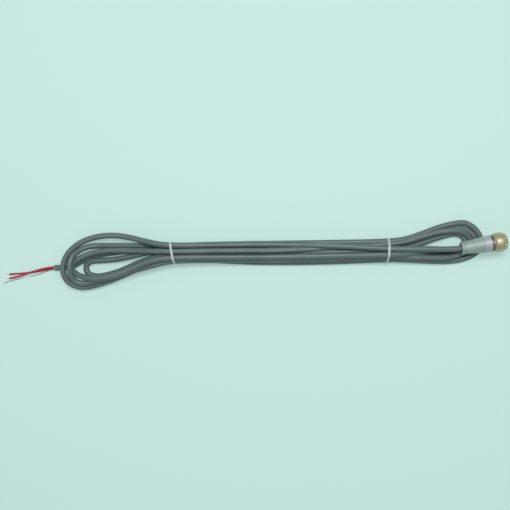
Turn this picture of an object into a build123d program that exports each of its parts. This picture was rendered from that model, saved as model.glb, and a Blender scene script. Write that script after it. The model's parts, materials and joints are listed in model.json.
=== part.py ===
from build123d import *
from math import cos, pi, radians, sin, sqrt, tan
import os

# Flame sensor probe: a turned head with a union nut, on a long screened lead that is
# folded into a tied hank.  Millimetres.
# Frame: origin at the centre of the union nut's mouth, +X out of the mouth along the
# head's axis, +Z up.  The head lies level and the hank trails behind it.

# ---- driving dimensions: head, stations along X counted back from the mouth ----
NUT_LENGTH = 13.0
NUT_RADIUS = 9.9
NUT_REAR_ROUND = (3.75, 3.2)  # radius, how far forward it runs
DOME_CENTRE = -7.1          # the nut's front is a dome of the nut's own radius
NOTCHES = 8                 # finger notches round the dome
NOTCH = (1.1, 8.75, -3.9)   # radius, distance from the axis, rear end
THREAD_RADIUS = 5.72        # G 1/4 female thread, minor radius
THREAD_END = -5.9
RELIEF_RADIUS = 7.9
RELIEF_END = -10.2
RUNNING_RADIUS = 5.95       # hole in the nut's rear flange and in the slip ring

SLIP_RING = (-14.6, -13.1, 8.45)            # rear, front, outer radius
SPIGOT_RADIUS = 5.87
SPIGOT_REAR = -21.0
SPIGOT_COLLAR = (-9.6, -8.1, 7.2)
SIGHT_RADIUS = 3.9          # clear light path
WINDOW_SEAT = -14.0
WINDOW_RADIUS = 4.9
WINDOW = (-13.5, -11.6)
GASKET_FRONT = -6.9

SLEEVE_FRONT = -15.9
SLEEVE_REAR = -22.6
SLEEVE_RADII = (8.2, 8.7)   # rear, front
SLEEVE_EDGE = 0.5
O_RING_GROOVE = (0.9, 7.2)  # depth, radius
O_RING_WIRE = 0.65
SHANK_REAR = -29.2
SHANK_RADIUS = 6.9

HEAD_REAR = -46.6
COLLAR_FRONT = -44.0
COLLAR_RADIUS = 6.7
COLLAR_EDGE = 0.6
NECK_FRONT = -43.3
NECK_RADIUS = 6.1
SHELL_RADII = (6.45, 8.15)  # rear, front
CAVITY_RADIUS = 5.6
GROMMET_SEAT = -41.2
GROMMET_RADIUS = 4.6
GROMMET_RECESS = 0.7

# ---- driving dimensions: lead ----
CABLE_RADIUS = 3.0
CORE_RADIUS = 1.0
TIP_RADIUS = 0.55
DRAIN_RADIUS = 0.45
AXIS_HEIGHT = 16.0          # head's axis above the surface that everything lies on
YAW = 9.2                   # the head points this many degrees to the left of the hank
MOUTH_ALONG = 230.6         # the nut's mouth, along and across from the hank's middle
MOUTH_ACROSS = 12.3
TIE_ALONG = (-109.9, 110.7) # left tie, right tie
TIE_WIDTH = 2.5
TIE_STRAP = 1.0
TIE_SKEW = (9.7, -3.7)      # left tie, right tie
TIE_LIFT = 3.6              # the ties' heads lie under the bundle and hold it up by this much

# strand centres at the corners of the bundle: across, height
MIDDLE_SECTION = ((-10.0, 3.0), (10.0, 3.0), (2.6, 13.4), (-4.0, 13.4))
LEFT_SECTION = ((-4.5, 6.6), (7.5, 6.6), (7.5, 17.0), (-4.5, 17.0), (-7.5, 11.8))
RIGHT_SECTION = ((-6.6, 6.6), (11.8, 6.6), (8.6, 11.8), (4.2, 17.0), (-1.4, 17.2))

# outer and inner outlines of the two fans of loops: along, across
LEFT_OUTLINE = ((-118, 11), (-144, 17), (-175, 21.6), (-196, 18.6), (-211, 11.9), (-221.5, 1.6), (-226, -15.4),
                (-221.5, -32), (-201, -39), (-185, -35.4), (-154, -25.6), (-118, -13))
LEFT_OPENING = ((-143, -6), (-165, -6.6), (-186, -10), (-197, -13), (-193, -19.4), (-180, -21.4), (-165, -17.4))
RIGHT_OUTLINE = ((118, 15), (144, 22), (165, 30.6), (184.5, 34.9), (201, 28), (211.6, 10.4), (206, -1),
                 (191, -9.6), (171, -11.6), (144, -10.6), (118, -9))
RIGHT_OPENING = ((142, 7.2), (165, 14), (180.5, 18), (188, 14), (186.5, 9.6), (171, 6.4), (152, 6))
LEFT_HEIGHT = 15.0
RIGHT_HEIGHT = 11.4
TIP_HEIGHT = 7.2            # under the head the strands lie lower, from here along
TIP_ALONG = 172.0

# routes chosen by hand: along, across, height
LEAD_ROUTE = ((124.0, 4.2, 17.1), (138, 4.15, 16.8), (152, 4.1, 16.4), (167.5, 3.7, 16.1), (179.5, 4.03, 16.0))
CABLE_END = -37.4           # the jacket ends here inside the head
TAIL = ((-225.9, -15.2, 3.0), (-233.2, -15.2, 3.0))
CORE_A_ROUTE = ((-233.2, -16.25, 3.0), (-243, -17.4, 1.5), (-253, -19.5, 1.0), (-263, -20.7, 1.0),
                (-272, -21.5, 1.0), (-280.8, -22.0, 1.0))
CORE_B_ROUTE = ((-233.2, -14.15, 3.0), (-243, -15.7, 3.3), (-252, -18.0, 3.4), (-260, -20.6, 3.3),
                (-267.5, -23.3, 2.0), (-274, -25.0, 1.0), (-280.8, -26.3, 1.0))
DRAIN_ROUTE = ((-233.2, -15.2, 0.9), (-243, -19.4, 0.5), (-254, -23.0, 0.5), (-266, -25.8, 0.45),
               (-277, -27.8, 0.5), (-287.5, -31.4, 0.5))
TIP_LENGTH = 4.6

# ---- the hank's own axes, placed in the frame ----
ALONG = Vector(cos(radians(YAW)), -sin(radians(YAW)), 0)
ACROSS = Vector(sin(radians(YAW)), cos(radians(YAW)), 0)
HANK_ORIGIN = ALONG * -MOUTH_ALONG + ACROSS * -MOUTH_ACROSS + Vector(0, 0, -AXIS_HEIGHT)
FLOOR = Plane(origin=HANK_ORIGIN, x_dir=ALONG, z_dir=(0, 0, 1))

os.makedirs("parts", exist_ok=True)


def save(builder, name):
    """Label a finished piece and write it."""
    builder.part.label = name
    export_step(builder.part, f"parts/{name}.step")


def place(along, across, height):
    """A point given in the hank's axes, in the frame."""
    return HANK_ORIGIN + ALONG * along + ACROSS * across + Vector(0, 0, height)


def band(rear, front, inner, outer):
    """A rectangle of the half section in the XZ plane, for a plain ring."""
    with Locations(((rear + front) / 2, (inner + outer) / 2)):
        Rectangle(front - rear, outer - inner)


def outline(*points):
    """A closed half section in the XZ plane."""
    with BuildLine() as border:
        Polyline(*points, close=True)
    make_face(border.edges())


def route_wire(points, name):
    """Straight runs joined by arcs as large as the runs allow; prints the radii."""
    radii = []
    for before, corner, after in zip(points, points[1:], points[2:]):
        run_in, run_out = corner - before, after - corner
        half_turn = radians(run_in.get_angle(run_out)) / 2
        radii.append(0.45 * min(run_in.length, run_out.length) / tan(half_turn))
    print(name, "radii", [round(radius, 1) for radius in radii])
    return FilletPolyline(*points, radius=radii) if radii else Line(*points)


def report_volume(builder, length, radius, name):
    """Compare a tube's volume with its section times its length."""
    section = pi * radius**2
    print(f"{name}: length {length:.1f}, volume {builder.part.volume:.1f}, expected {section * length:.1f}")


# ================= union nut and the ring behind it =================
MOUTH_RADIUS = sqrt(NUT_RADIUS**2 - DOME_CENTRE**2)
REAR_FACE_RADIUS = NUT_RADIUS - NUT_REAR_ROUND[0] + sqrt(NUT_REAR_ROUND[0] ** 2 - NUT_REAR_ROUND[1] ** 2)
ROUND_END = NUT_REAR_ROUND[1] - NUT_LENGTH
with BuildPart() as coupling_nut:
    with BuildSketch(Plane.XZ):
        with BuildLine():
            Polyline(
                (0, MOUTH_RADIUS), (0, THREAD_RADIUS), (THREAD_END, THREAD_RADIUS), (THREAD_END, RELIEF_RADIUS),
                (RELIEF_END, RELIEF_RADIUS), (RELIEF_END, RUNNING_RADIUS), (-NUT_LENGTH, RUNNING_RADIUS),
                (-NUT_LENGTH, REAR_FACE_RADIUS),
            )
            RadiusArc((-NUT_LENGTH, REAR_FACE_RADIUS), (ROUND_END, NUT_RADIUS), NUT_REAR_ROUND[0])
            Line((ROUND_END, NUT_RADIUS), (DOME_CENTRE, NUT_RADIUS))
            RadiusArc((DOME_CENTRE, NUT_RADIUS), (0, MOUTH_RADIUS), NUT_RADIUS)
        make_face()
    revolve(axis=Axis.X)
    with BuildSketch(Plane.YZ.offset(NOTCH[2])):
        with PolarLocations(NOTCH[1], NOTCHES, start_angle=180 / NOTCHES):
            Circle(NOTCH[0])
    extrude(amount=-NOTCH[2], mode=Mode.SUBTRACT)
save(coupling_nut, "coupling_nut")

with BuildPart() as slip_ring:
    with BuildSketch(Plane.XZ):
        band(SLIP_RING[0], SLIP_RING[1], RUNNING_RADIUS, SLIP_RING[2])
    revolve(axis=Axis.X)
    chamfer(slip_ring.edges().filter_by(GeomType.CIRCLE).sort_by(SortBy.RADIUS)[-2:], 0.25)
save(slip_ring, "slip_ring")

# ================= spigot, window and seals =================
with BuildPart() as spigot:
    with BuildSketch(Plane.XZ):
        outline(
            (SPIGOT_REAR, SIGHT_RADIUS), (SPIGOT_REAR, SPIGOT_RADIUS), (SPIGOT_COLLAR[0], SPIGOT_RADIUS),
            (SPIGOT_COLLAR[0], SPIGOT_COLLAR[2]), (SPIGOT_COLLAR[1], SPIGOT_COLLAR[2]),
            (SPIGOT_COLLAR[1], WINDOW_RADIUS), (WINDOW_SEAT, WINDOW_RADIUS), (WINDOW_SEAT, SIGHT_RADIUS),
        )
    revolve(axis=Axis.X)
save(spigot, "spigot")

with BuildPart() as union_gasket:
    with BuildSketch(Plane.XZ):
        band(SPIGOT_COLLAR[1], GASKET_FRONT, WINDOW_RADIUS, SPIGOT_COLLAR[2])
    revolve(axis=Axis.X)
save(union_gasket, "union_gasket")

with BuildPart() as window_seal:
    with BuildSketch(Plane.XZ):
        band(WINDOW_SEAT, WINDOW[0], SIGHT_RADIUS, WINDOW_RADIUS)
    revolve(axis=Axis.X)
save(window_seal, "window_seal")

with BuildPart() as window:
    with BuildSketch(Plane.YZ.offset(WINDOW[0])):
        Circle(WINDOW_RADIUS)
    extrude(amount=WINDOW[1] - WINDOW[0])
save(window, "window")

RETAINER_FRONT = -9.8
RETAINER_SLOT = (1.0, 0.8)  # width, depth
with BuildPart() as window_retainer:
    with BuildSketch(Plane.XZ):
        band(WINDOW[1], RETAINER_FRONT, SIGHT_RADIUS, WINDOW_RADIUS)
    revolve(axis=Axis.X)
    with BuildSketch(Plane.YZ.offset(RETAINER_FRONT)):
        Rectangle(3 * WINDOW_RADIUS, RETAINER_SLOT[0])
    extrude(amount=-RETAINER_SLOT[1], mode=Mode.SUBTRACT)
save(window_retainer, "window_retainer")

with BuildPart() as body_o_ring:
    with BuildSketch(Plane.XZ):
        with Locations((SLEEVE_FRONT - O_RING_GROOVE[0] + O_RING_WIRE, SPIGOT_RADIUS + O_RING_WIRE)):
            Circle(O_RING_WIRE)
    revolve(axis=Axis.X)
save(body_o_ring, "body_o_ring")

# ================= shells =================
with BuildPart() as front_sleeve:
    groove_floor = SLEEVE_FRONT - O_RING_GROOVE[0]
    with BuildSketch(Plane.XZ):
        outline(
            (SHANK_REAR, SPIGOT_RADIUS), (SHANK_REAR, SHANK_RADIUS), (SLEEVE_REAR, SHANK_RADIUS),
            (SLEEVE_REAR, SLEEVE_RADII[0]), (SLEEVE_FRONT - SLEEVE_EDGE, SLEEVE_RADII[1]),
            (SLEEVE_FRONT, SLEEVE_RADII[1] - SLEEVE_EDGE), (SLEEVE_FRONT, O_RING_GROOVE[1]),
            (groove_floor, O_RING_GROOVE[1]), (groove_floor, SPIGOT_RADIUS),
        )
    revolve(axis=Axis.X)
save(front_sleeve, "front_sleeve")

GRUB_STATION = -25.6
GRUB_RADIUS = 1.0
GRUB_LENGTH = 0.9
GRUB_GAP = 0.02             # round the screw, and under its point
GRUB_SOCKET = (0.5, 0.6)    # radius, depth
with BuildPart() as rear_shell:
    with BuildSketch(Plane.XZ):
        outline(
            (HEAD_REAR, GROMMET_RADIUS), (HEAD_REAR, COLLAR_RADIUS - COLLAR_EDGE),
            (HEAD_REAR + COLLAR_EDGE, COLLAR_RADIUS), (COLLAR_FRONT - COLLAR_EDGE / 2, COLLAR_RADIUS),
            (COLLAR_FRONT, COLLAR_RADIUS - COLLAR_EDGE / 2), (COLLAR_FRONT, NECK_RADIUS),
            (NECK_FRONT, NECK_RADIUS), (NECK_FRONT, SHELL_RADII[0]), (SLEEVE_REAR, SHELL_RADII[1]),
            (SLEEVE_REAR, SHANK_RADIUS), (SHANK_REAR, SHANK_RADIUS), (SHANK_REAR, CAVITY_RADIUS),
            (GROMMET_SEAT, CAVITY_RADIUS), (GROMMET_SEAT, GROMMET_RADIUS),
        )
    revolve(axis=Axis.X)
    with BuildSketch(Plane.XY.offset(-SHANK_RADIUS)):
        with Locations((GRUB_STATION, 0)):
            Circle(GRUB_RADIUS)
    extrude(amount=-SHANK_RADIUS, mode=Mode.SUBTRACT)
save(rear_shell, "rear_shell")

with BuildPart() as grub_screw:
    with BuildSketch(Plane.XY.offset(-SHANK_RADIUS - GRUB_GAP)):
        with Locations((GRUB_STATION, 0)):
            Circle(GRUB_RADIUS - GRUB_GAP)
    extrude(amount=-GRUB_LENGTH)
    with BuildSketch(Plane.XY.offset(-SHANK_RADIUS - GRUB_GAP - GRUB_LENGTH)):
        with Locations((GRUB_STATION, 0)):
            RegularPolygon(GRUB_SOCKET[0], 6)
    extrude(amount=GRUB_SOCKET[1], mode=Mode.SUBTRACT)
save(grub_screw, "grub_screw")

# ================= sensor =================
CAN_REAR, CAN_FRONT = -27.6, -21.4
CAN_RADIUS, CAN_FLANGE = 4.1, 4.55
CAN_WALL, CAN_LIP = 0.35, 0.6
CAN_BASE = CAN_REAR + 1.2
CAN_OPENING = 2.6
with BuildPart() as sensor_can:
    with BuildSketch(Plane.XZ):
        outline(
            (CAN_REAR, 0), (CAN_REAR, CAN_FLANGE), (CAN_REAR + CAN_LIP, CAN_FLANGE), (CAN_REAR + CAN_LIP, CAN_RADIUS),
            (CAN_FRONT, CAN_RADIUS), (CAN_FRONT, CAN_OPENING), (CAN_FRONT - CAN_WALL, CAN_OPENING),
            (CAN_FRONT - CAN_WALL, CAN_RADIUS - CAN_WALL), (CAN_BASE, CAN_RADIUS - CAN_WALL), (CAN_BASE, 0),
        )
    revolve(axis=Axis.X)
save(sensor_can, "sensor_can")

SENSOR_GLASS = 0.5
with BuildPart() as sensor_window:
    with BuildSketch(Plane.YZ.offset(CAN_FRONT - CAN_WALL - SENSOR_GLASS)):
        Circle(CAN_RADIUS - CAN_WALL)
    extrude(amount=SENSOR_GLASS)
save(sensor_window, "sensor_window")

CELL = (3.6, 0.6)           # side, thickness
with BuildPart() as sensor_cell:
    with BuildSketch(Plane.YZ.offset(CAN_BASE)):
        Rectangle(CELL[0], CELL[0])
    extrude(amount=CELL[1])
save(sensor_cell, "sensor_cell")

HOLDER_REAR, HOLDER_FRONT, HOLDER_BORE = -28.6, -22.2, 3.2
with BuildPart() as cell_holder:
    with BuildSketch(Plane.XZ):
        outline(
            (HOLDER_REAR, HOLDER_BORE), (HOLDER_REAR, SPIGOT_RADIUS), (HOLDER_FRONT, SPIGOT_RADIUS),
            (HOLDER_FRONT, CAN_RADIUS), (CAN_REAR + CAN_LIP, CAN_RADIUS), (CAN_REAR + CAN_LIP, CAN_FLANGE),
            (CAN_REAR, CAN_FLANGE), (CAN_REAR, HOLDER_BORE),
        )
    revolve(axis=Axis.X)
save(cell_holder, "cell_holder")

BOARD_REAR, BOARD_FRONT, BOARD_RADIUS = -34.6, -33.4, 5.3
PIN_RADIUS, PIN_CIRCLE = 0.23, 2.54
SOLDER_HEIGHT, SOLDER_RADIUS = 0.5, 0.6
CORE_GAP = 1.05             # each core's distance from the cable's axis
CONDUCTOR_RADIUS = 0.4
CONDUCTOR_LENGTH = 1.1      # bare wire between the insulation and the board
with BuildPart() as circuit_board:
    with BuildSketch(Plane.YZ.offset(BOARD_REAR)):
        Circle(BOARD_RADIUS)
        with PolarLocations(PIN_CIRCLE, 3):
            Circle(PIN_RADIUS, mode=Mode.SUBTRACT)
        with Locations((-CORE_GAP, 0), (CORE_GAP, 0)):
            Circle(CONDUCTOR_RADIUS, mode=Mode.SUBTRACT)
    extrude(amount=BOARD_FRONT - BOARD_REAR)
save(circuit_board, "circuit_board")

with BuildPart() as sensor_pins:
    with BuildSketch(Plane.YZ.offset(BOARD_REAR - SOLDER_HEIGHT)):
        with PolarLocations(PIN_CIRCLE, 3):
            Circle(PIN_RADIUS)
    extrude(amount=CAN_REAR - BOARD_REAR + SOLDER_HEIGHT)
save(sensor_pins, "sensor_pins")

RESISTOR = (0.8, 3.2, 3.6)  # radius, length, distance from the axis
with BuildPart() as board_resistors:
    with BuildSketch(Plane.XY.offset(-RESISTOR[1] / 2)):
        with Locations((BOARD_FRONT + RESISTOR[0], -RESISTOR[2]), (BOARD_FRONT + RESISTOR[0], RESISTOR[2])):
            Circle(RESISTOR[0])
    extrude(amount=RESISTOR[1])
save(board_resistors, "board_resistors")

CAPACITOR = (1.4, 2.0)      # radius, length
with BuildPart() as board_capacitor:
    with BuildSketch(Plane.YZ.offset(BOARD_FRONT)):
        with Locations((1.2, 3.2)):
            Circle(CAPACITOR[0])
    extrude(amount=CAPACITOR[1])
    fillet(board_capacitor.edges().filter_by(GeomType.CIRCLE).sort_by(Axis.X)[-1], 0.3)
save(board_capacitor, "board_capacitor")

with BuildPart() as solder_joints:
    with BuildSketch(Plane.YZ.offset(BOARD_REAR - SOLDER_HEIGHT)):
        with PolarLocations(PIN_CIRCLE, 3):
            Circle(SOLDER_RADIUS)
            Circle(PIN_RADIUS, mode=Mode.SUBTRACT)
    extrude(amount=SOLDER_HEIGHT)
    with BuildSketch(Plane.YZ.offset(BOARD_FRONT)):
        with Locations((-CORE_GAP, 0), (CORE_GAP, 0)):
            Circle(SOLDER_RADIUS)
            Circle(CONDUCTOR_RADIUS, mode=Mode.SUBTRACT)
    extrude(amount=SOLDER_HEIGHT)
save(solder_joints, "solder_joints")

SPRING_REAR = -30.38
SPRING_PITCH = 0.88          # one disc: wall and cone together
SPRING_WALL = 0.38
SPRING_RADII = (3.4, 5.2)
with BuildPart() as disc_springs:
    with BuildSketch(Plane.XZ):
        for rear, outer_rear, inner_rear in (
            (SPRING_REAR, 0, SPRING_PITCH - SPRING_WALL), (SPRING_REAR + SPRING_PITCH, SPRING_PITCH - SPRING_WALL, 0),
        ):
            outline(
                (rear + inner_rear, SPRING_RADII[0]), (rear + inner_rear + SPRING_WALL, SPRING_RADII[0]),
                (rear + outer_rear + SPRING_WALL, SPRING_RADII[1]), (rear + outer_rear, SPRING_RADII[1]),
            )
    revolve(axis=Axis.X)
save(disc_springs, "disc_springs")

LINER_FRONT = -30.4
LINER_WALL = 0.25
LINER_LIP = (0.6, 4.2)      # thickness, inner radius
with BuildPart() as insulating_liner:
    with BuildSketch(Plane.XZ):
        band(GROMMET_SEAT, LINER_FRONT, CAVITY_RADIUS - LINER_WALL, CAVITY_RADIUS)
        band(LINER_FRONT - LINER_LIP[0], LINER_FRONT, LINER_LIP[1], CAVITY_RADIUS)
    revolve(axis=Axis.X)
save(insulating_liner, "insulating_liner")

# ================= cable entry =================
with BuildPart() as cable_grommet:
    grommet_rear = HEAD_REAR + GROMMET_RECESS
    with BuildSketch(Plane.XZ):
        outline(
            (grommet_rear, CABLE_RADIUS), (grommet_rear, GROMMET_RADIUS - 0.5),
            (grommet_rear + 0.3, GROMMET_RADIUS), (GROMMET_SEAT, GROMMET_RADIUS), (GROMMET_SEAT, CABLE_RADIUS),
        )
    revolve(axis=Axis.X)
save(cable_grommet, "cable_grommet")

FERRULE_WALL, FERRULE_FLANGE = 0.5, 1.6
FERRULE_LIP = GROMMET_SEAT + 0.6
FERRULE_END = CABLE_END - 0.4
with BuildPart() as cable_ferrule:
    with BuildSketch(Plane.XZ):
        outline(
            (GROMMET_SEAT, CABLE_RADIUS), (GROMMET_SEAT, CABLE_RADIUS + FERRULE_FLANGE),
            (FERRULE_LIP, CABLE_RADIUS + FERRULE_FLANGE), (FERRULE_LIP, CABLE_RADIUS + FERRULE_WALL),
            (FERRULE_END, CABLE_RADIUS + FERRULE_WALL), (FERRULE_END, CABLE_RADIUS),
        )
    revolve(axis=Axis.X)
save(cable_ferrule, "cable_ferrule")

with BuildPart() as inner_cores:
    with BuildSketch(Plane.YZ.offset(CABLE_END)):
        with Locations((-CORE_GAP, 0), (CORE_GAP, 0)):
            Circle(CORE_RADIUS)
    extrude(amount=BOARD_REAR - CONDUCTOR_LENGTH - CABLE_END)
    with BuildSketch(Plane.YZ.offset(BOARD_REAR - CONDUCTOR_LENGTH)):
        with Locations((-CORE_GAP, 0), (CORE_GAP, 0)):
            Circle(CONDUCTOR_RADIUS)
    extrude(amount=CONDUCTOR_LENGTH + BOARD_FRONT - BOARD_REAR + SOLDER_HEIGHT)
save(inner_cores, "inner_cores")

# ================= lead, hank and stripped end =================
lead_points = [place(*point) for point in LEAD_ROUTE] + [Vector(CABLE_END, 0, 0)]
with BuildPart() as cable_lead:
    with BuildLine() as lead_path:
        route_wire(lead_points, "cable_lead")
    with BuildSketch(Plane(origin=lead_path.wire() @ 0, z_dir=lead_path.wire() % 0)):
        Circle(CABLE_RADIUS)
    sweep()
report_volume(cable_lead, lead_path.wire().length, CABLE_RADIUS, "cable_lead")
save(cable_lead, "cable_lead")


def across_plane(along, skew=0.0):
    """Sketch plane across the hank at a station: local x runs across, local y runs up."""
    across = ACROSS.rotate(Axis.Z, skew)
    return Plane(origin=place(along, 0, 0), x_dir=across, z_dir=across.cross(Vector(0, 0, 1)))


def bundle(section, grow, mode=Mode.ADD):
    """The outer shape of the strands whose centres are the section's corners."""
    with BuildSketch(mode=Mode.PRIVATE) as corners:
        Polygon(*section, align=None)
    offset(corners.sketch, amount=grow, kind=Kind.ARC, mode=mode)


TIE_ZONE = 13.2              # half the length over which a tie holds the bundle up
TIE_ZONE_LAP = 1.2
TIE_SLACK = 0.15
with BuildPart() as cable_hank:
    middle_start = TIE_ALONG[0] + TIE_ZONE - TIE_ZONE_LAP
    with BuildSketch(across_plane(middle_start)):
        bundle(MIDDLE_SECTION, CABLE_RADIUS)
    extrude(amount=TIE_ALONG[1] - TIE_ZONE + TIE_ZONE_LAP - middle_start)
    for along, section in zip(TIE_ALONG, (LEFT_SECTION, RIGHT_SECTION)):
        with BuildSketch(across_plane(along - TIE_ZONE)):
            bundle(section, CABLE_RADIUS - TIE_SLACK)
        extrude(amount=2 * TIE_ZONE)
    for curve, opening, height in (
        (LEFT_OUTLINE, LEFT_OPENING, LEFT_HEIGHT), (RIGHT_OUTLINE, RIGHT_OPENING, RIGHT_HEIGHT),
    ):
        with BuildSketch(FLOOR):
            with BuildLine():
                Spline(*curve)
                Line(curve[-1], curve[0])
            make_face()
            with BuildLine():
                Spline(*opening, periodic=True)
            make_face(mode=Mode.SUBTRACT)
        extrude(amount=height)
    with BuildSketch(FLOOR.offset(TIP_HEIGHT)):
        with Locations((TIP_ALONG, 0)):
            Rectangle(TIE_ALONG[1], TIE_ALONG[1], align=(Align.MIN, Align.CENTER))
    extrude(amount=RIGHT_HEIGHT, mode=Mode.SUBTRACT)
save(cable_hank, "cable_hank")


tail_points = [place(*point) for point in TAIL]
with BuildPart() as cable_tail:
    with BuildSketch(Plane(origin=tail_points[0], z_dir=tail_points[1] - tail_points[0])):
        Circle(CABLE_RADIUS)
    extrude(amount=(tail_points[1] - tail_points[0]).length)
save(cable_tail, "cable_tail")

tip_planes = []
for name, route, radius in (
    ("core_a", CORE_A_ROUTE, CORE_RADIUS), ("core_b", CORE_B_ROUTE, CORE_RADIUS),
    ("drain_wire", DRAIN_ROUTE, DRAIN_RADIUS),
):
    with BuildPart() as wire:
        with BuildLine() as wire_path:
            route_wire([place(*point) for point in route], name)
        start, end = wire_path.wire() @ 0, wire_path.wire() @ 1
        with BuildSketch(Plane(origin=start, z_dir=wire_path.wire() % 0)):
            Circle(radius)
        sweep()
    report_volume(wire, wire_path.wire().length, radius, name)
    tip_planes.append(Plane(origin=end, z_dir=wire_path.wire() % 1))
    save(wire, name)

with BuildPart() as core_tips:
    for tip_plane in tip_planes[:2]:
        with BuildSketch(tip_plane):
            Circle(TIP_RADIUS)
        extrude(amount=TIP_LENGTH)
save(core_tips, "core_tips")

# ================= cable ties: a strap round the bundle, its head below =================
TIE_HEAD = (4.4, 4.0)       # across, along
TIE_STUB = 1.8              # how far the strap's cut end stands out of the head
for name, along, section, skew in (
    ("tie_left", TIE_ALONG[0], LEFT_SECTION, TIE_SKEW[0]), ("tie_right", TIE_ALONG[1], RIGHT_SECTION, TIE_SKEW[1]),
):
    middle = (section[0][0] + section[1][0]) / 2
    with BuildPart() as tie:
        with BuildSketch(across_plane(along, skew)):
            bundle(section, CABLE_RADIUS + TIE_STRAP)
            bundle(section, CABLE_RADIUS, Mode.SUBTRACT)
        extrude(amount=TIE_WIDTH / 2, both=True)
        with BuildSketch(across_plane(along, skew)):
            with Locations((middle, TIE_LIFT / 2)):
                RectangleRounded(TIE_HEAD[0], TIE_LIFT, 0.5)
        extrude(amount=TIE_HEAD[1] / 2, both=True)
        with BuildSketch(across_plane(along, skew)):
            with Locations((middle - TIE_HEAD[0] / 2, TIE_LIFT / 2)):
                Rectangle(2 * TIE_STUB, TIE_STRAP)
        extrude(amount=TIE_WIDTH / 2, both=True)
    save(tie, name)
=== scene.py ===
import json
import math

import bmesh
import bpy
from mathutils import Matrix, Vector

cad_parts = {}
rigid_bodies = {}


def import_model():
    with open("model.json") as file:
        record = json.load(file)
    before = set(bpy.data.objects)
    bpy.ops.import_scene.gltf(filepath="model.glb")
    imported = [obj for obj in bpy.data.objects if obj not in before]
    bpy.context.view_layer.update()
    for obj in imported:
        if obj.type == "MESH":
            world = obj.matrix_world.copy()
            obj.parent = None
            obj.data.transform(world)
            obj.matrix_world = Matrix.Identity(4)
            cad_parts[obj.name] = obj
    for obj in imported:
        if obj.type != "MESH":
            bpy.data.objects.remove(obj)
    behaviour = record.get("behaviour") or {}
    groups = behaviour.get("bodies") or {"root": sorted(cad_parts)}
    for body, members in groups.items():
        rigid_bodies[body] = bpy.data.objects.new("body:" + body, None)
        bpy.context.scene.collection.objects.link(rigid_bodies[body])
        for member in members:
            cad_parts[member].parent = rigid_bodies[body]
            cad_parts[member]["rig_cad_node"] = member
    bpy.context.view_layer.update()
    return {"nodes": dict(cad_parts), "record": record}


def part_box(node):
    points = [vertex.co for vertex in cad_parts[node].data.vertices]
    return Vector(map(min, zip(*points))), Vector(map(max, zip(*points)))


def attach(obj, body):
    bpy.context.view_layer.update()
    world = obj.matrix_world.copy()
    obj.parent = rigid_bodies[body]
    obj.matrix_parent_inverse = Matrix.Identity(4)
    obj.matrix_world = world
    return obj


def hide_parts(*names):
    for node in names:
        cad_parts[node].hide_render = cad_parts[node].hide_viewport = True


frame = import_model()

MM = 0.001

# ================= places, from the frame =================
# The hank has axes of its own: along (towards the head), across and height above the
# floor, counted from the middle of the two ties.  They repeat the CAD model's.
YAW = math.radians(9.2)
MOUTH_ALONG, MOUTH_ACROSS = 230.6, 12.3
AXIS_HEIGHT = 16.0
ALONG = Vector((math.cos(YAW), -math.sin(YAW), 0))
ACROSS = Vector((math.sin(YAW), math.cos(YAW), 0))
UP = Vector((0, 0, 1))
FLOOR_Z = -AXIS_HEIGHT * MM
TIE_ALONG = (-109.9, 110.7)
TIE_SKEW = (9.7, -3.7)
TIE_LIFT = 3.6

CABLE_DIAMETER = 6.0
CORE_DIAMETER = 2.0
DRAIN_DIAMETER = 0.9


def place(along, across, height):
    """A point given in the hank's axes and millimetres, in the frame and metres."""
    plan = ALONG * (along - MOUTH_ALONG) + ACROSS * (across - MOUTH_ACROSS)
    return (plan + UP * (height - AXIS_HEIGHT)) * MM


# ================= camera =================
CAMERA_HEIGHT = 800.0
CAMERA_OVER = (0.0, -2.0)
CAMERA_LENS = 54.3
CAMERA_SHIFT = -0.049       # the hank's middle is right of the picture's middle


def make_camera():
    """Straight down, with the hank lying level across the picture."""
    data = bpy.data.cameras.new("camera")
    data.lens = CAMERA_LENS
    data.sensor_width = 36.0
    data.shift_x = CAMERA_SHIFT
    camera = bpy.data.objects.new("camera", data)
    bpy.context.scene.collection.objects.link(camera)
    turn = Matrix((ALONG, ACROSS, UP)).transposed()
    camera.matrix_world = Matrix.Translation(place(*CAMERA_OVER, CAMERA_HEIGHT)) @ turn.to_4x4()
    bpy.context.scene.camera = camera


make_camera()

# ================= the cable =================
STATIONS = (TIE_ALONG[0], -55.0, 0.0, 55.0, TIE_ALONG[1])
LOW, MID, TOP = 3.0, 8.2, 13.4

# each pass through the ties: across and height at the five stations, left to right
PASSES = (
    ((7.5, TOP), (8.4, MID + 1.4), (8.8, MID + 0.4), (7.4, TOP + 0.6), (4.2, TOP)),
    ((-4.5, LOW), (-8.6, LOW), (-10.0, LOW), (-9.0, LOW), (-6.6, LOW)),
    ((7.5, LOW), (9.4, LOW), (10.0, LOW), (10.8, LOW), (11.8, LOW)),
    ((-7.5, MID), (-7.4, MID), (-7.2, MID), (-6.2, MID), (-3.6, MID)),
    ((1.5, TOP), (2.4, TOP), (2.4, TOP), (5.2, MID + 0.3), (8.6, MID)),
    ((-4.5, TOP), (-4.2, TOP), (-4.0, TOP), (-2.8, TOP), (-1.8, TOP + 0.2)),
    ((4.5, MID), (1.6, MID), (0.0, MID), (1.0, MID), (2.6, MID)),
    ((-1.5, MID), (-2.4, LOW + 1.0), (-3.4, LOW), (-2.8, LOW), (-0.6, LOW)),
    ((1.5, LOW), (3.4, LOW), (3.4, LOW), (4.0, LOW), (5.6, LOW)),
)

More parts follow.
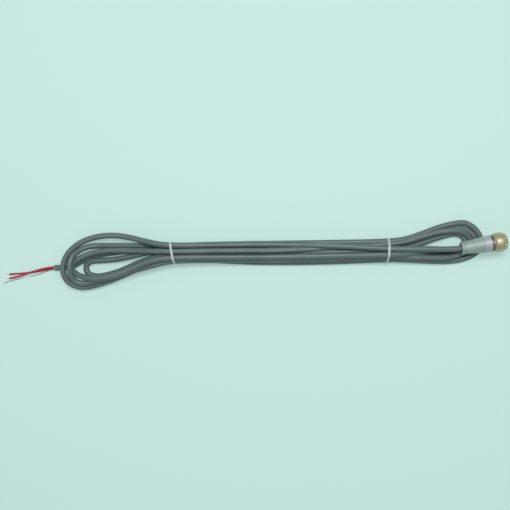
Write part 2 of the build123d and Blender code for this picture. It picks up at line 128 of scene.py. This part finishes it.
# each loop: its crest, tip and belly as along, across and height, then for its crest's side and
# its belly's side: how sharp the turn at the tip is, how late the flank leaves the tie, and how
# far the flank bows outwards
LEFT_LOOPS = (
    ((-174.6, 18.6, 9.5), (-223.6, -15.3, 10), (-200.4, -36.1, 5), (1, 0.9), (1, 0.5), (0, 0)),
    ((-189.5, 7.7, 3.2), (-215.4, -13.2, 14.2), (-200.8, -31.6, 10), (0.92, 0.8), (1, 0.1), (0, 0)),
    ((-176, 2.6, 9.2), (-215, -13.8, 8.9), (-185.8, -26.4, 15.5), (1.2, 0.95), (1, 1), (0, -1.0)),
    ((-190.6, -8.0, 3), (-200.9, -15.5, 3), (-185.4, -24.2, 3), (0.88, 0.8), (1, 1), (1.0, -2.0)),
)
RIGHT_LOOPS = (
    ((188.0, 31.9, 3), (209.0, 10.4, 3), (171.7, -8.8, 3), (1.1, 1), (1, 1), (-0.9, 0)),
    ((179.4, 23.3, 8.2), (197.3, 10.4, 3.6), (169.5, -5.0, 9.0), (1, 1.15), (1, 1), (0.6, 0)),
    ((178.5, 20.2, 3), (191.4, 11.4, 3), (176.5, 2.8, 3), (0.85, 0.8), (0.7, 1), (-2.0, 0)),
    ((185.2, 26.1, 3), (203.2, 10.4, 3), (171.7, -3.0, 3), (1.05, 1), (1, 1), (-0.8, 0)),
)

HEAD_LEAD = (
    (186.2, 5.1, 16.0), (179.5, 4.03, 16.0), (167.5, 3.7, 16.1), (152, 4.1, 16.4), (138, 4.15, 16.8),
    (124, 4.2, 17.1),
)
TAIL = (
    (-134.7, 2.9, 3.2), (-152, 2.5, 3), (-170, 0.8, 3), (-186, -1.6, 3.2), (-197.6, -4.4, 3.8),
    (-208.2, -10.2, 3.2), (-216.5, -14.4, 3), (-225.8, -15.2, 3), (-233.2, -15.2, 3),
)


def ease(t):
    """A smooth step from 0 to 1."""
    return (1 - math.cos(math.pi * t)) / 2


def mix(a, b, t):
    """The value a share t of the way from a to b."""
    return a + (b - a) * t


def flank(start, end, lateness, bow, steps=3):
    """Points on a loop's flank between its tie and its crest or belly."""
    outwards = 4 * bow * math.copysign(1, end[1] - start[1])
    for i in range(1, steps + 1):
        t = i / (steps + 1)
        across = mix(start[1], end[1], mix(t, ease(t), lateness)) + outwards * t * (1 - t)
        yield (mix(start[0], end[0], t), across, mix(start[2], end[2], ease(t)))


def corner(side, tip, sharpness, steps=4):
    """Points on a quarter turn from a loop's crest or belly to its tip."""
    for i in range(steps + 1):
        a = math.pi / 2 * i / steps
        out = math.sin(a) ** sharpness
        down = math.cos(a) ** sharpness if i < steps else 0.0
        height = mix(side[2], tip[2], ease(i / steps))
        yield (mix(side[0], tip[0], out), mix(tip[1], side[1], down), height)


def loop(start, end, shape):
    """One loop of the hank, from the tie at start round its tip to the tie at end."""
    crest, tip, belly, sharpness, lateness, bow = shape
    first = [*flank(start, crest, lateness[0], bow[0]), *corner(crest, tip, sharpness[0])]
    last = [*flank(end, belly, lateness[1], bow[1]), *corner(belly, tip, sharpness[1])][:-1]
    return first + last[::-1]


def lane(number, station):
    """Where a pass crosses a station; the ties' heads hold it up at both ties."""
    across, height = PASSES[number][station]
    lift = TIE_LIFT if station in (0, len(STATIONS) - 1) else 0
    return (STATIONS[station], across, height + lift)


def cable_route():
    """The head's lead, nine passes with a loop between each two, and the tail."""
    points = list(HEAD_LEAD)
    last = len(STATIONS) - 1
    for number in range(len(PASSES)):
        leftward = number % 2 == 0
        order = range(last, -1, -1) if leftward else range(last + 1)
        points += [lane(number, station) for station in order]
        if number + 1 == len(PASSES):
            break
        if leftward:
            points += loop(lane(number, 0), lane(number + 1, 0), LEFT_LOOPS[number // 2])
        else:
            back = loop(lane(number + 1, last), lane(number, last), RIGHT_LOOPS[number // 2])
            points += back[::-1]
    return points + list(TAIL)


def route_curve(name, points, diameter, bevel=True, sides=5, detail=6):
    """A cord: one NURBS spline along its route."""
    data = bpy.data.curves.new(name, "CURVE")
    data.dimensions = "3D"
    spline = data.splines.new("NURBS")
    spline.points.add(len(points) - 1)
    for control, point in zip(spline.points, points):
        control.co = (*place(*point), 1)
        control.radius = diameter / 2 * MM
    spline.order_u = 3
    spline.use_endpoint_u = True
    data.resolution_u = detail
    if bevel:
        data.bevel_depth = 1.0      # times the points' own radius, which the object's bounds go by
        data.bevel_resolution = sides
        data.use_fill_caps = True
    piece = bpy.data.objects.new(name, data)
    bpy.context.scene.collection.objects.link(piece)
    return piece


def route_line(name, points, detail):
    """The points of a route's own spline, for pieces that follow it."""
    curve = route_curve(name, points, 0, bevel=False, detail=detail)
    bpy.context.view_layer.update()
    mesh = bpy.data.meshes.new_from_object(curve)
    line = [vertex.co.copy() for vertex in mesh.vertices]
    bpy.data.objects.remove(curve)
    bpy.data.meshes.remove(mesh)
    return line


cable = route_curve("cable", cable_route(), CABLE_DIAMETER)
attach(cable, "head")
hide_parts("cable_lead", "cable_hank", "cable_tail")

# ================= meshes =================


def skin(name, shells, body="head", crease=40):
    """A mesh of closed shells: each is rings of points, and whether the last ring meets the first."""
    made = bmesh.new()
    for rings, closed in shells:
        loops = [[made.verts.new(point) for point in ring] for ring in rings]
        for first, second in zip(loops, loops[1:] + loops[:1] if closed else loops[1:]):
            for i in range(len(first)):
                made.faces.new((first[i - 1], first[i], second[i], second[i - 1]))
        if not closed:
            made.faces.new(loops[0])
            made.faces.new(loops[-1][::-1])
    bmesh.ops.recalc_face_normals(made, faces=made.faces)
    data = bpy.data.meshes.new(name)
    made.to_mesh(data)
    made.free()
    data.shade_smooth()
    data.set_sharp_from_angle(angle=math.radians(crease))
    piece = bpy.data.objects.new(name, data)
    bpy.context.scene.collection.objects.link(piece)
    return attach(piece, body)


def frames_along(line):
    """Each point of a line with two unit normals that don't twist round it."""
    steps = [(b - a).normalized() for a, b in zip(line, line[1:])]
    side = UP.cross(steps[0])
    for point, step in zip(line, steps + steps[-1:]):
        side = (side - step * side.dot(step)).normalized()
        yield point, side, step.cross(side)


def tube(line, radius, sides=6):
    """Rings of a round tube; the radius is in millimetres."""
    angles = [math.tau * i / sides for i in range(sides)]
    return [
        [point + (side * math.cos(a) + over * math.sin(a)) * radius * MM for a in angles]
        for point, side, over in frames_along(line)
    ], False


def stranded(line, radius, lay, splay=0.0):
    """Seven strands twisted into a wire, one turn in each lay: the middle one and six round it."""
    strand = radius / 3
    turns, travelled, last = [], 0.0, line[0]
    for point in line:
        travelled += (point - last).length / MM
        turns.append(travelled / lay)
        last = point
    shells = [tube(line, strand)]
    for i in range(6):
        path = []
        for (point, side, over), turn in zip(frames_along(line), turns):
            a = math.tau * (turn + i / 6)
            out = strand * (2 + splay * (turn / turns[-1]) ** 2)
            path.append(point + (side * math.cos(a) + over * math.sin(a)) * out * MM)
        shells.append(tube(path, strand))
    return shells


def rounded_rectangle(width, height, edge, steps=3):
    """Points round a rectangle with round corners, centred."""
    points = []
    for i, (x, y) in enumerate(((1, 1), (-1, 1), (-1, -1), (1, -1))):
        for j in range(steps + 1):
            a = math.pi / 2 * (i + j / steps)
            points.append((x * (width / 2 - edge) + edge * math.cos(a),
                           y * (height / 2 - edge) + edge * math.sin(a)))
    return points


# ================= cable ties =================
TIE_WIDTH = 2.5
TIE_STRAP = 1.0
TIE_EDGE = 0.3
TIE_HEAD = (4.4, 4.0, TIE_LIFT - 0.1)       # across, along, height
TIE_HEAD_CORNER = 0.6
TIE_HEAD_EDGE = (0.25, 0.9) # how far in from its ends it narrows, and to what share
TIE_SLOT = (3.0, 1.5)
TIE_STUB = 1.8              # how far the strap's cut end stands out of the head
STUB_INSIDE = 0.2           # how far inside the head's other end the cut end starts
TEETH = (0.25, 0.24)        # half the pitch of the strap's teeth, and how deep they bite

# the cable centres that each strap runs round, across and height, as in the CAD model
SECTIONS = (
    ((-4.5, 6.6), (7.5, 6.6), (7.5, 17.0), (-4.5, 17.0), (-7.5, 11.8)),
    ((-6.6, 6.6), (11.8, 6.6), (8.6, 11.8), (4.2, 17.0), (-1.4, 17.2)),
)


def hull_path(corners, radius, step=math.radians(10)):
    """Points and outward directions of a band round circles that stand at a polygon's corners."""
    for before, here, after in zip(corners[-1:] + corners[:-1], corners, corners[1:] + corners[:1]):
        first = math.atan2(before[0] - here[0], here[1] - before[1])
        last = math.atan2(here[0] - after[0], after[1] - here[1])
        turn = (last - first) % math.tau
        count = max(2, math.ceil(turn / step))
        for i in range(count + 1):
            a = first + turn * i / count
            out = (math.cos(a), math.sin(a))
            yield (here[0] + radius * out[0], here[1] + radius * out[1]), out


def make_tie(name, station, skew, corners):
    """One tie: a strap round the bundle, and a head below it with the strap's cut end."""
    across = Matrix.Rotation(math.radians(skew), 3, "Z") @ ACROSS
    along = across.cross(UP)
    origin = place(station, 0, 0)

    def at(a, h, s):
        return origin + (across * a + UP * h + along * s) * MM

    strap_profile = rounded_rectangle(TIE_WIDTH, TIE_STRAP, TIE_EDGE)
    rings = []
    for (a, h), out in hull_path(corners, (CABLE_DIAMETER + TIE_STRAP) / 2):
        rings.append([at(a + out[0] * t, h + out[1] * t, s) for s, t in strap_profile])
    strap = skin(name + "_strap", [(rings, True)])

    middle = (corners[0][0] + corners[1][0]) / 2
    near, far = middle - TIE_HEAD[0] / 2, middle + TIE_HEAD[0] / 2
    outer = rounded_rectangle(TIE_HEAD[1], TIE_HEAD[2], TIE_HEAD_CORNER)
    inner = rounded_rectangle(*TIE_SLOT, TIE_EDGE)
    inset, narrow = TIE_HEAD_EDGE
    shell = []
    for a, profile, scale in (
        (near, inner, 1), (near, outer, narrow), (near + inset, outer, 1),
        (far - inset, outer, 1), (far, outer, narrow), (far, inner, 1),
    ):
        shell.append([at(a, TIE_LIFT / 2 + t * scale, s * scale) for s, t in profile])
    stub = []
    half_pitch, bite = TEETH
    for i in range(round((TIE_HEAD[0] + TIE_STUB) / half_pitch) + 1):
        a = far - STUB_INSIDE - i * half_pitch
        below = 1 - bite if i % 2 else 1.0
        stub.append([at(a, TIE_LIFT / 2 + (t if t > 0 else t * below), s) for s, t in strap_profile])
    head = skin(name + "_head", [(shell, True), (stub, False)], crease=30)
    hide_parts(name)
    return [strap, head]


tie_pieces = []
for name, station, skew, corners in zip(("tie_left", "tie_right"), TIE_ALONG, TIE_SKEW, SECTIONS):
    tie_pieces += make_tie(name, station, skew, corners)

# ================= the stripped end =================
CORE_ROUTES = {
    "core_a": ((-233.2, -16.25, 3.0), (-243, -17.4, 1.5), (-253, -19.5, 1.0), (-263, -20.7, 1.0),
               (-272, -21.5, 1.0), (-280.8, -22.0, 1.0)),
    "core_b": ((-233.2, -14.15, 3.0), (-243, -15.7, 3.3), (-252, -18.0, 3.4), (-260, -20.6, 3.3),
               (-267.5, -23.3, 2.0), (-274, -25.0, 1.0), (-280.8, -26.3, 1.0)),
}
DRAIN_ROUTE = ((-233.2, -15.2, 0.9), (-243, -19.4, 0.5), (-254, -23.0, 0.5), (-266, -25.8, 0.45),
               (-277, -27.8, 0.5), (-287.5, -31.4, 0.5))
DRAIN_LAY = 6.5             # the length of one turn of its strands
TIP_LENGTH = 4.6
TIP_RADIUS = 0.52
TIP_INSIDE = 0.3            # how far inside the insulation a tip starts
TIP_LAY = 7.0
TIP_SPLAY = 0.5
TIP_STEPS = 24
SCREEN_RADIUS = 2.35
SCREEN_WIRES = 26
SCREEN_WIRE = (0.09, 0.4)   # radius, and how far inside the jacket it starts
SCREEN_REACH = (0.9, 0.5)   # how far the wires stand out, and how much that varies
SCREEN_FLARE = 0.25
FILLER = ((-0.3, 2.1), (0.05, 2.1), (0.3, 1.95), (0.4, 1.5))    # past the jacket's end, radius
FILLER_SIDES = 24


def make_core(name, route):
    """An insulated core and the stranded wire that shows past its insulation."""
    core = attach(route_curve(name + "_cord", route, CORE_DIAMETER, sides=6), "head")
    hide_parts(name)
    end = place(*route[-1])
    ahead = (end - place(*route[-2])).normalized()
    steps = range(TIP_STEPS + 1)
    line = [end + ahead * (TIP_LENGTH * i / TIP_STEPS - TIP_INSIDE) * MM for i in steps]
    tip = skin(name + "_tip", stranded(line, TIP_RADIUS, TIP_LAY, splay=TIP_SPLAY))
    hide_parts("core_tips")
    return core, tip


def make_drain():
    """The bare drain wire, stranded along its own route."""
    line = route_line("drain_line", DRAIN_ROUTE, detail=36)
    drain = skin("drain_strands", stranded(line, DRAIN_DIAMETER / 2, DRAIN_LAY))
    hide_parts("drain_wire")
    return drain


def make_screen():
    """The cut screen wires, uneven, and the filler that show at the jacket's end."""
    end = place(*TAIL[-1])
    back = (place(*TAIL[-2]) - end).normalized()
    side = UP.cross(back).normalized()
    over = back.cross(side)
    radius, inside = SCREEN_WIRE
    wires = []
    for i in range(SCREEN_WIRES):
        a = math.tau * i / SCREEN_WIRES
        out = side * math.cos(a) + over * math.sin(a)
        reach = SCREEN_REACH[0] + SCREEN_REACH[1] * math.sin(5.3 * i)
        flare = SCREEN_RADIUS + SCREEN_FLARE * math.sin(3.1 * i)
        line = [end + back * inside * MM + out * SCREEN_RADIUS * MM, end + out * SCREEN_RADIUS * MM,
                end - back * reach * MM + out * flare * MM]
        wires.append(tube(line, radius, 5))
    angles = [math.tau * i / FILLER_SIDES for i in range(FILLER_SIDES)]
    filler = [
        [end - back * past * MM + (side * math.cos(a) + over * math.sin(a)) * ring * MM for a in angles]
        for past, ring in FILLER
    ]
    return skin("screen_wires", wires), skin("jacket_filler", [(filler, False)])


cores = [make_core(name, route) for name, route in CORE_ROUTES.items()]
drain = make_drain()
screen, filler = make_screen()

# ================= union nut =================
NUT_LOW, NUT_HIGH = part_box("coupling_nut")
NUT_RADIUS = NUT_HIGH.y / MM
NUT_REAR = NUT_LOW.x / MM
REAR_ROUND = (3.75, 3.2)    # radius, and how far forward it runs
REAR_STEPS = 8
DOME_CENTRE = -7.1          # the front is a dome of the nut's own radius
DOME_STATIONS = (DOME_CENTRE, -6.2, -5.4, -4.7, -4.2)
NOTCHES = 8
NOTCH = (1.1, 8.75, -3.9)   # radius, distance from the axis, rear end
NOTCH_WALL = 0.04           # half the length in which a notch's rear wall drops
NOTCH_STEPS = 14
MOUTH_EDGE = ((-0.12, 0.0), (-0.03, 0.03), (0.0, 0.12))     # station, and how far inside the dome
THREAD_RADII = (5.72, 6.58) # crest, root
THREAD_PITCH = 1.337
THREAD_END = -5.9
THREAD_CHAMFER = 0.15       # how much wider than the root the mouth is
THREAD_STEPS = 40
RELIEF = (7.9, -10.2)       # radius, rear end
RUNNING_RADIUS = 5.95
FLANGE_EDGE = 0.25
NUT_STEPS = 288


def notch_floor(angle):
    """The radius that a notch cuts the dome down to at an angle, or None between the notches."""
    pitch = math.tau / NOTCHES
    off = (angle % pitch) - pitch / 2
    reach = NOTCH[0] ** 2 - (NOTCH[1] * math.sin(off)) ** 2
    return NOTCH[1] * math.cos(off) - math.sqrt(reach) if reach > 0 else None


def thread_radius(x, angle):
    """The thread's surface, opened by a chamfer at the mouth and run out at its end."""
    phase = (x / THREAD_PITCH + angle / math.tau) % 1
    wave = ease(2 * abs(phase - 0.5))
    crest = max(THREAD_RADII[0], THREAD_RADII[1] + THREAD_CHAMFER + x)
    return max(crest, mix(*THREAD_RADII, wave))


def nut_section(angle):
    """The nut's half section at an angle round its axis, a closed loop of stations and radii."""
    points = [(NUT_REAR, RUNNING_RADIUS + FLANGE_EDGE)]
    round_radius, run = REAR_ROUND
    for i in range(REAR_STEPS + 1):
        back = run * math.cos(math.pi / 2 * i / REAR_STEPS)
        rise = math.sqrt(round_radius**2 - back**2)
        points.append((NUT_REAR + run - back, NUT_RADIUS - round_radius + rise))
    notch_rear = NOTCH[2]
    stations = [*DOME_STATIONS, notch_rear - NOTCH_WALL, notch_rear + NOTCH_WALL]
    stations += [notch_rear * (1 - i / NOTCH_STEPS) for i in range(1, NOTCH_STEPS)] + [MOUTH_EDGE[0][0]]
    floor = notch_floor(angle)
    for x in stations:
        radius = math.sqrt(NUT_RADIUS**2 - (x - DOME_CENTRE) ** 2)
        points.append((x, min(radius, floor) if floor and x > notch_rear else radius))
    lip = math.sqrt(NUT_RADIUS**2 - DOME_CENTRE**2)
    points += [(x, lip - inside) for x, inside in MOUTH_EDGE[1:]]
    bore = [THREAD_END * i / THREAD_STEPS for i in range(THREAD_STEPS + 1)]
    points += [(x, thread_radius(x, angle)) for x in bore]
    points += [(THREAD_END, RELIEF[0]), (RELIEF[1], RELIEF[0]), (RELIEF[1], RUNNING_RADIUS),
               (NUT_REAR + FLANGE_EDGE, RUNNING_RADIUS)]
    return points


def make_nut():
    """The union nut, with its notches and its thread cut, in place of the plain CAD one."""
    rings = []
    for i in range(NUT_STEPS):
        a = math.tau * i / NUT_STEPS
        rings.append([Vector((x, r * math.cos(a), r * math.sin(a))) * MM for x, r in nut_section(a)])
    domed = skin("union_nut_domed", [(rings, True)], body="union_nut", crease=35)
    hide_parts("coupling_nut")
    return domed


nut = make_nut()

# ================= finishes =================


class Finish:
    """A procedural material: a shader, and textures in the frame's own metres."""

    def __init__(self, name, colour, roughness, metallic=0.0, **plain):
        self.material = bpy.data.materials.new(name)
        self.material.use_nodes = True
        self.nodes = self.material.node_tree.nodes
        self.links = self.material.node_tree.links
        self.shader = self.nodes["Principled BSDF"]
        self.set("Base Color", (*colour, 1))
        self.set("Roughness", roughness)
        self.set("Metallic", metallic)
        for socket, value in plain.items():
            self.set(socket.replace("_", " "), value)
        self.where = self.nodes.new("ShaderNodeTexCoord").outputs["Object"]

    def set(self, socket, value):
        """One value all over goes on the shader; a texture's output is linked to it."""
        if isinstance(value, bpy.types.NodeSocket):
            self.links.new(value, self.shader.inputs[socket])
        else:
            self.shader.inputs[socket].default_value = value

    def noise(self, size_mm, detail=3.0, rough=0.55, stretch=(1, 1, 1)):
        """Cloudy noise whose blobs are about this many millimetres across."""
        mapping = self.nodes.new("ShaderNodeMapping")
        self.links.new(self.where, mapping.inputs["Vector"])
        mapping.inputs["Scale"].default_value = stretch
        node = self.nodes.new("ShaderNodeTexNoise")
        self.links.new(mapping.outputs["Vector"], node.inputs["Vector"])
        node.inputs["Scale"].default_value = 1 / (size_mm * MM)
        node.inputs["Detail"].default_value = detail
        node.inputs["Roughness"].default_value = rough
        return node.outputs["Fac"]

    def ramp(self, factor, *stops):
        """Colours or grey levels at positions along a factor."""
        node = self.nodes.new("ShaderNodeValToRGB")
        self.links.new(factor, node.inputs["Fac"])
        points = node.color_ramp.elements
        while len(points) < len(stops):
            points.new(1.0)
        for point, (where, value) in zip(points, stops):
            point.position = where
            point.color = (*value, 1) if hasattr(value, "__len__") else (value, value, value, 1)
        return node.outputs["Color"]

    def vary(self, socket, factor, *stops):
        """Drives one of the shader's sockets along a ramp."""
        self.set(socket, self.ramp(factor, *stops))

    def coat(self, factor, under, over):
        """A texture's colours, covered with one colour by a factor."""
        node = self.nodes.new("ShaderNodeMix")
        node.data_type = "RGBA"
        self.links.new(factor, node.inputs["Factor"])
        self.links.new(under, node.inputs["A"])
        node.inputs["B"].default_value = (*over, 1)
        return node.outputs["Result"]

    def bump(self, height, depth_mm):
        """Raises the surface by height times depth; calls add up."""
        node = self.nodes.new("ShaderNodeBump")
        self.links.new(height, node.inputs["Height"])
        node.inputs["Distance"].default_value = depth_mm * MM
        node.inputs["Strength"].default_value = 1.0
        normal = self.shader.inputs["Normal"]
        if normal.is_linked:
            self.links.new(normal.links[0].from_socket, node.inputs["Normal"])
        self.links.new(node.outputs["Normal"], normal)


def jacket_finish():
    finish = Finish("cable_jacket", (0.10, 0.135, 0.14), 0.42, Specular_IOR_Level=0.5)
    handled = finish.noise(38, 4, 0.6)
    grime = finish.noise(4.5, 5, 0.65)
    tone = finish.ramp(handled, (0.3, (0.084, 0.126, 0.125)), (0.7, (0.118, 0.164, 0.163)))
    dusty = finish.ramp(grime, (0.45, 0.0), (0.75, 0.35))
    finish.set("Base Color", finish.coat(dusty, tone, (0.16, 0.20, 0.20)))
    finish.vary("Roughness", grime, (0.3, 0.29), (0.7, 0.44))
    finish.bump(finish.noise(1.1, 3, 0.6), 0.02)
    finish.bump(finish.noise(14, 2, 0.5), 0.12)
    return finish.material


def core_finish():
    finish = Finish("core_red", (0.42, 0.03, 0.05), 0.34)
    finish.vary("Base Color", finish.noise(9, 3),
                (0.35, (0.34, 0.020, 0.040)), (0.7, (0.46, 0.035, 0.060)))
    finish.bump(finish.noise(1.6, 2), 0.015)
    return finish.material


def tinned_finish():
    finish = Finish("tinned_wire", (0.62, 0.60, 0.56), 0.33, metallic=1.0)
    finish.vary("Roughness", finish.noise(1.5, 4), (0.3, 0.25), (0.7, 0.5))
    finish.vary("Base Color", finish.noise(3, 3), (0.3, (0.50, 0.47, 0.42)), (0.7, (0.68, 0.66, 0.62)))
    return finish.material


def nylon_finish():
    finish = Finish("tie_nylon", (0.46, 0.52, 0.50), 0.48, Subsurface_Weight=0.2,
                    Subsurface_Scale=0.001)
    finish.vary("Base Color", finish.noise(5, 3), (0.3, (0.42, 0.49, 0.47)), (0.7, (0.50, 0.57, 0.55)))
    finish.bump(finish.noise(0.8, 3), 0.01)
    return finish.material


def turned(finish, pitch_mm, depth_mm):
    """Fine rings round the head's axis, as a tool leaves them."""
    finish.bump(finish.noise(pitch_mm, 2, 0.7, stretch=(1, 0.02, 0.02)), depth_mm)


def shell_finish():
    finish = Finish("shell_grey", (0.32, 0.39, 0.37), 0.58, metallic=0.35)
    finish.vary("Base Color", finish.noise(7, 5, 0.62),
                (0.3, (0.295, 0.37, 0.35)), (0.72, (0.375, 0.455, 0.43)))
    finish.vary("Roughness", finish.noise(2.2, 4), (0.3, 0.50), (0.7, 0.66))
    turned(finish, 0.35, 0.012)
    return finish.material


def sleeve_finish():
    finish = Finish("sleeve_nickel", (0.44, 0.47, 0.48), 0.55, metallic=0.4)
    finish.vary("Base Color", finish.noise(5, 4), (0.3, (0.40, 0.43, 0.44)), (0.7, (0.48, 0.50, 0.52)))
    finish.vary("Roughness", finish.noise(1.4, 4), (0.3, 0.48), (0.7, 0.62))
    turned(finish, 0.3, 0.01)
    return finish.material


def brass_finish():
    finish = Finish("nut_brass", (0.52, 0.48, 0.33), 0.40, metallic=0.7)
    finish.vary("Base Color", finish.noise(4.0, 5, 0.62), (0.28, (0.38, 0.36, 0.22)),
                (0.55, (0.53, 0.49, 0.33)), (0.8, (0.63, 0.56, 0.40)))
    finish.vary("Roughness", finish.noise(1.2, 4), (0.3, 0.36), (0.7, 0.52))
    turned(finish, 0.4, 0.014)
    return finish.material


def steel_finish(name, grey, smooth):
    """Turned steel, given how light it is and its lowest roughness."""
    finish = Finish(name, (grey, grey, grey), smooth, metallic=1.0)
    finish.vary("Base Color", finish.noise(3, 3), (0.3, grey * 0.85), (0.7, grey))
    finish.vary("Roughness", finish.noise(1.6, 4), (0.3, smooth), (0.7, smooth + 0.18))
    turned(finish, 0.25, 0.01)
    return finish.material


def rubber_finish():
    finish = Finish("seal_rubber", (0.018, 0.019, 0.019), 0.62)
    finish.vary("Roughness", finish.noise(1.2, 4), (0.3, 0.52), (0.7, 0.75))
    finish.bump(finish.noise(0.5, 3), 0.01)
    return finish.material


def glass_finish():
    finish = Finish("window_glass", (0.86, 0.93, 0.93), 0.03, Transmission_Weight=1.0, IOR=1.46)
    return finish.material


def plastic_finish(name, light, dark, roughness=0.45):
    finish = Finish(name, light, roughness)
    finish.vary("Base Color", finish.noise(3, 3), (0.3, dark), (0.7, light))
    finish.bump(finish.noise(0.6, 3), 0.01)
    return finish.material


FINISHES = {
    "cable_jacket": jacket_finish(), "core_red": core_finish(), "tinned_wire": tinned_finish(),
    "tie_nylon": nylon_finish(), "shell_grey": shell_finish(), "sleeve_nickel": sleeve_finish(),
    "nut_brass": brass_finish(), "seal_rubber": rubber_finish(), "window_glass": glass_finish(),
    # the ring's steel is darker than the turned steel below: painted shade of the gap between the
    # sleeve and the nut, where the ring sits
    "ring_steel": steel_finish("ring_steel", 0.36, 0.46),
    "holder_plastic": plastic_finish("holder_plastic", (0.72, 0.69, 0.58), (0.62, 0.59, 0.49)),
    "board_laminate": plastic_finish("board_laminate", (0.05, 0.22, 0.09), (0.03, 0.16, 0.06), 0.3),
    "liner_card": plastic_finish("liner_card", (0.70, 0.62, 0.38), (0.60, 0.52, 0.30), 0.5),
    "cell_ceramic": plastic_finish("cell_ceramic", (0.62, 0.57, 0.42), (0.48, 0.43, 0.30), 0.4),
}
FINISHES["spigot_steel"] = FINISHES["can_steel"] = steel_finish("turned_steel", 0.60, 0.22)


def dress(piece, slot):
    """Give a piece the finish of its slot."""
    piece.data.materials.clear()
    piece.data.materials.append(FINISHES[slot])


for part in frame["record"]["subparts"]:
    dress(frame["nodes"][part["node"]], part["material_slot"])
dress(cable, "cable_jacket")
dress(nut, "nut_brass")
for piece in tie_pieces:
    dress(piece, "tie_nylon")
for core, tip in cores:
    dress(core, "core_red")
    dress(tip, "tinned_wire")
for piece in (drain, screen):
    dress(piece, "tinned_wire")
dress(filler, "liner_card")

# ================= floor and light =================
MINT = (0.56, 0.78, 0.73)
FLOOR_SIZE = 6.0
FLOOR_SHADE = 0.56          # how much of the mint shows by the light on it
FLOOR_GLOW = 0.46           # and how much by its own, which keeps the shadows as pale as they are
KEY_OVER = (20, 420, 1300)
KEY_SIZE = (0.9, 0.42)
KEY_POWER = 11.5
SKY = ((0.30, 0.33, 0.33, 1), (0.95, 1.0, 0.99, 1), 0.85)   # horizon, overhead, where that starts
SKY_STRENGTH = 0.55


def make_floor():
    """A plain pale floor under the hank."""
    bpy.ops.mesh.primitive_plane_add(size=FLOOR_SIZE, location=(0, 0, FLOOR_Z))
    floor = bpy.context.object
    floor.name = "floor"
    finish = Finish("floor", [level * FLOOR_SHADE for level in MINT], 0.75, Specular_IOR_Level=0.2,
                    Emission_Color=(*MINT, 1), Emission_Strength=FLOOR_GLOW)
    floor.data.materials.append(finish.material)


def make_light():
    """A soft rectangular light that faces the middle of the hank."""
    data = bpy.data.lights.new("key", "AREA")
    data.shape = "RECTANGLE"
    data.size, data.size_y = KEY_SIZE
    data.energy = KEY_POWER
    lamp = bpy.data.objects.new("key", data)
    bpy.context.scene.collection.objects.link(lamp)
    lamp.location = place(*KEY_OVER)
    lamp.rotation_euler = (place(0, 0, 0) - lamp.location).to_track_quat("-Z", "Y").to_euler()


def make_sky():
    """Even pale light, dimmer towards the horizon so that metal has something to show."""
    world = bpy.data.worlds.new("studio")
    bpy.context.scene.world = world
    world.use_nodes = True
    nodes, links = world.node_tree.nodes, world.node_tree.links
    up = nodes.new("ShaderNodeSeparateXYZ")
    links.new(nodes.new("ShaderNodeTexCoord").outputs["Generated"], up.inputs["Vector"])
    shade = nodes.new("ShaderNodeValToRGB")
    links.new(up.outputs["Z"], shade.inputs["Fac"])
    horizon, overhead = shade.color_ramp.elements
    horizon.color, overhead.color, overhead.position = SKY
    background = nodes["Background"]
    links.new(shade.outputs["Color"], background.inputs["Color"])
    background.inputs["Strength"].default_value = SKY_STRENGTH


make_floor()
make_light()
make_sky()
bpy.context.scene.view_settings.view_transform = "Standard"
